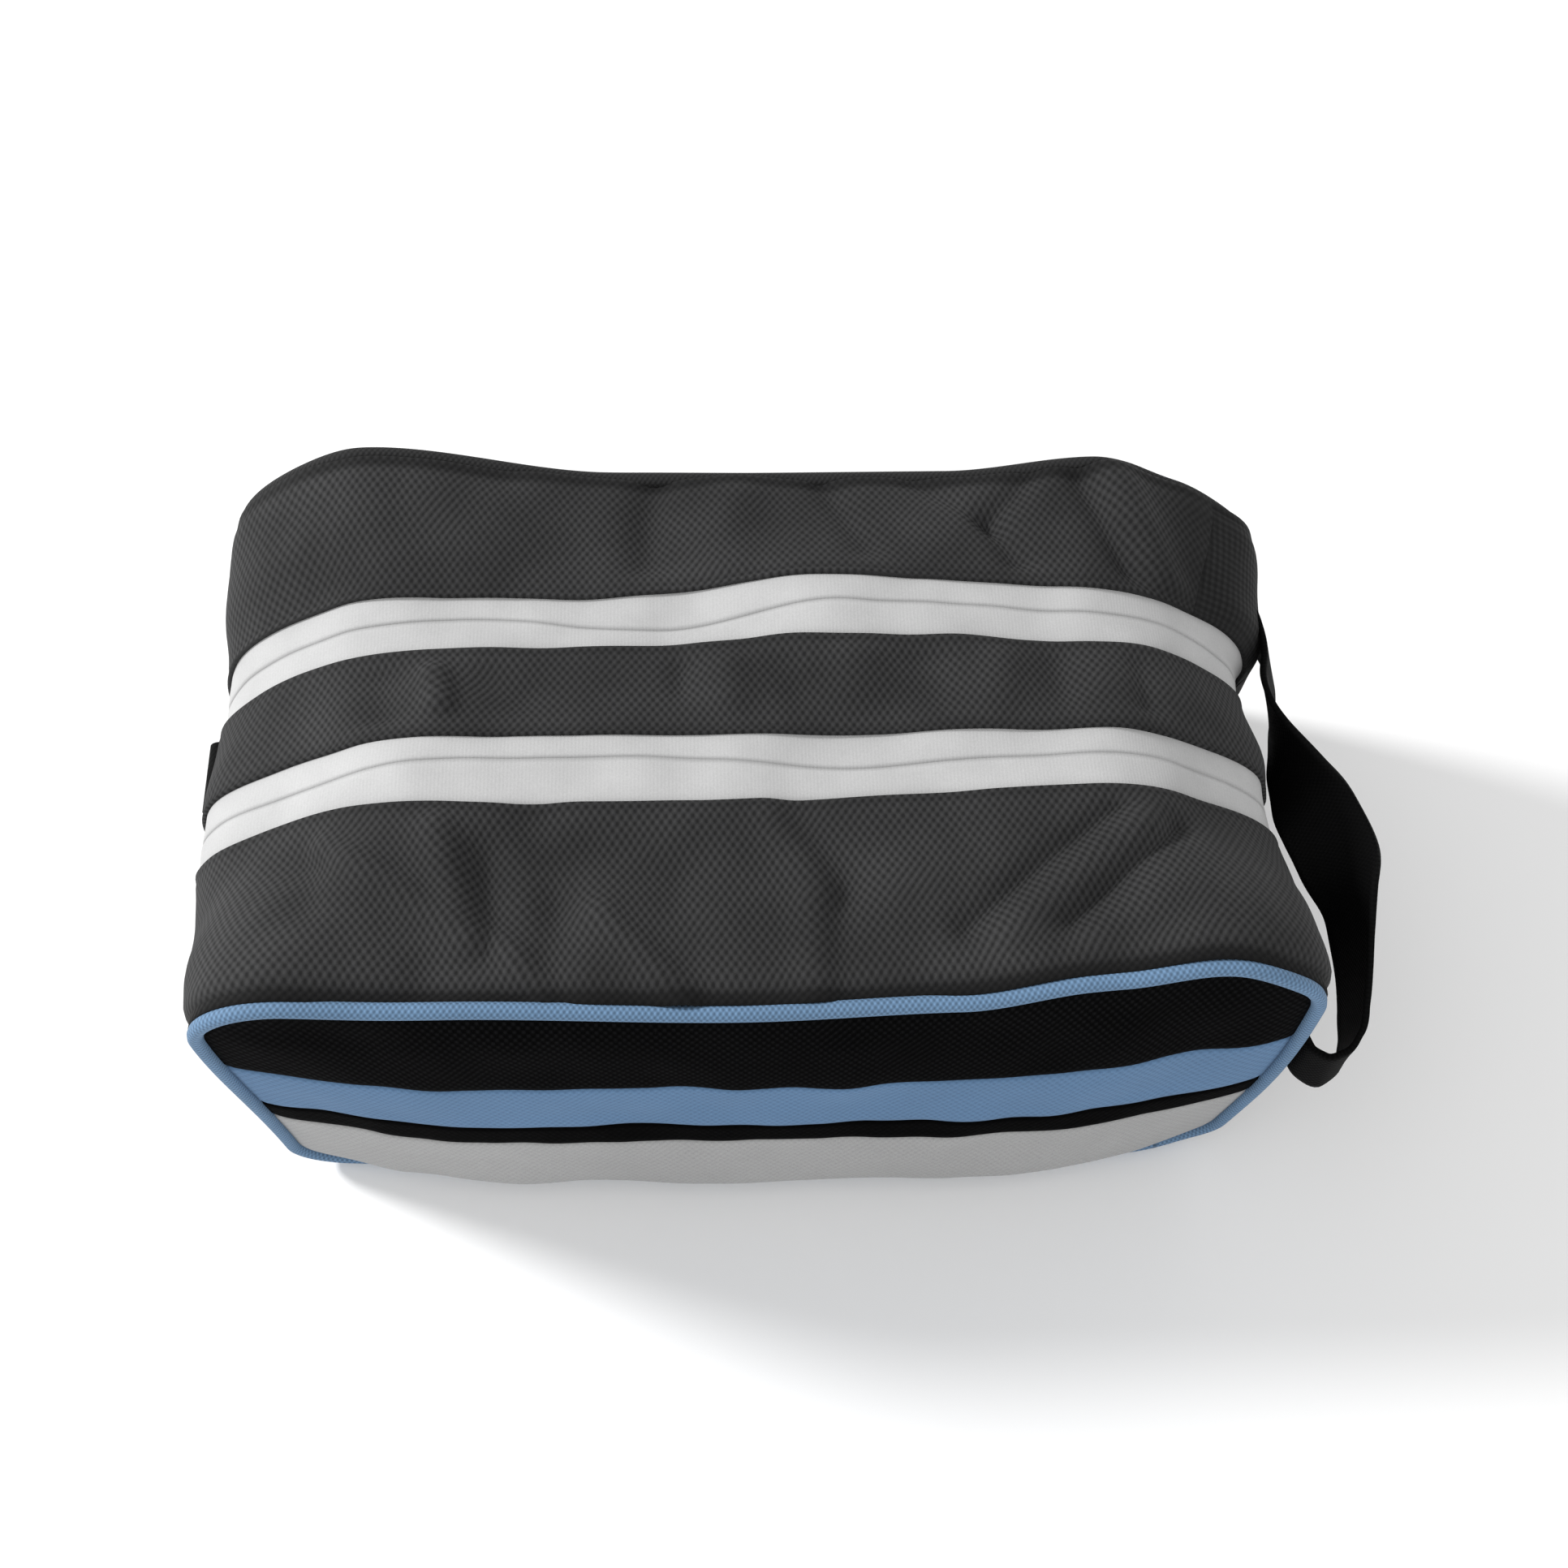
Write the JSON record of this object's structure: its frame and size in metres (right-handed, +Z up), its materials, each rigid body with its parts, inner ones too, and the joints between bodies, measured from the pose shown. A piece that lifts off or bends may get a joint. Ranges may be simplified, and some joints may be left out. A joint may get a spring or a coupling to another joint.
{
  "type": "golf shoe bag",
  "caption": "Soft two-compartment shoe bag with zips over the top, a striped piped front panel, a divider and a webbing carrying handle on one end.",
  "frame": {"origin": "centre of the flat underside of the base", "axes": "+X along the bag's length towards the handle, +Y from the striped front panel to the back, +Z up"},
  "size_m": [0.4084, 0.2152, 0.165],
  "materials": {
    "body_fabric": "coarse woven polyester, matt with a faint sheen",
    "base_board": "stiff polyethylene board",
    "divider_fabric": "plain woven polyester",
    "lining_fabric": "thin plain woven lining",
    "black_field": "woven polyester, matt black",
    "blue_band": "woven polyester, matt blue",
    "grey_band": "woven polyester, matt grey-white",
    "blue_piping": "knitted piping over a cord",
    "body_piping": "woven piping over a cord",
    "zip_tape": "fine ribbed knitted zip tape",
    "zip_coil": "moulded nylon coil",
    "slider_metal": "black lacquered zinc casting",
    "webbing": "flat woven polypropylene webbing"
  },
  "bodies": {
    "shell": {"base_panel": "body_fabric", "base_board": "base_board", "left_end_panel": "body_fabric", "right_end_panel": "body_fabric", "front_gusset_left": "body_fabric", "front_gusset_right": "body_fabric", "rear_gusset_left": "body_fabric", "rear_gusset_right": "body_fabric", "centre_band": "body_fabric", "divider": "divider_fabric", "front_lining": "lining_fabric", "rear_lining": "lining_fabric", "front_top_field": "black_field", "front_blue_band": "blue_band", "front_black_band": "black_field", "front_grey_band": "grey_band", "front_piping": "blue_piping", "back_panel": "body_fabric", "back_piping": "body_piping", "front_zip_end_tapes": "zip_tape", "front_zip_centre_tape": "zip_tape", "front_zip_end_coils": "zip_coil", "front_zip_centre_coil": "zip_coil", "front_zip_stops": "zip_coil", "rear_zip_end_tapes": "zip_tape", "rear_zip_centre_tape": "zip_tape", "rear_zip_end_coils": "zip_coil", "rear_zip_centre_coil": "zip_coil", "rear_zip_stops": "zip_coil", "handle_rear_end": "webbing", "handle_front_end": "webbing", "left_tab": "webbing"},
    "front_lip": {"front_lip": "body_fabric", "front_zip_lip_tape": "zip_tape", "front_zip_lip_coil": "zip_coil"},
    "rear_lip": {"rear_lip": "body_fabric", "rear_zip_lip_tape": "zip_tape", "rear_zip_lip_coil": "zip_coil"},
    "front_slider": {"front_slider": "slider_metal"},
    "front_puller": {"front_puller": "slider_metal"},
    "rear_slider": {"rear_slider": "slider_metal"},
    "rear_puller": {"rear_puller": "slider_metal"},
    "handle": {"handle_webbing": "webbing"}
  },
  "joints": [
    {"name": "front_lip_hinge", "type": "hinge", "parent": "shell", "child": "front_lip", "pos_m": [0, -0.0953, 0.1652], "axis": [1, 0, 0], "range_deg": [0, 75]},
    {"name": "rear_lip_hinge", "type": "hinge", "parent": "shell", "child": "rear_lip", "pos_m": [0, 0.0953, 0.1652], "axis": [-1, 0, 0], "range_deg": [0, 75]},
    {"name": "front_slider_travel", "type": "hinge", "parent": "shell", "child": "front_slider", "pos_m": [0.107, -0.019, 0.097], "axis": [0, -1, 0], "range_deg": [0, 76]},
    {"name": "front_puller_swing", "type": "hinge", "parent": "front_slider", "child": "front_puller", "pos_m": [0.1791, -0.019, 0.097], "axis": [0, -1, 0], "range_deg": [0, 120]},
    {"name": "rear_slider_travel", "type": "hinge", "parent": "shell", "child": "rear_slider", "pos_m": [0.107, 0.037, 0.097], "axis": [0, -1, 0], "range_deg": [0, 76]},
    {"name": "rear_puller_swing", "type": "hinge", "parent": "rear_slider", "child": "rear_puller", "pos_m": [0.1791, 0.037, 0.097], "axis": [0, -1, 0], "range_deg": [0, 120]},
    {"name": "handle_swing", "type": "hinge", "parent": "shell", "child": "handle", "pos_m": [0.184, -0.019, 0.1], "axis": [0, -1, 0], "range_deg": [-50, 50]}
  ]
}
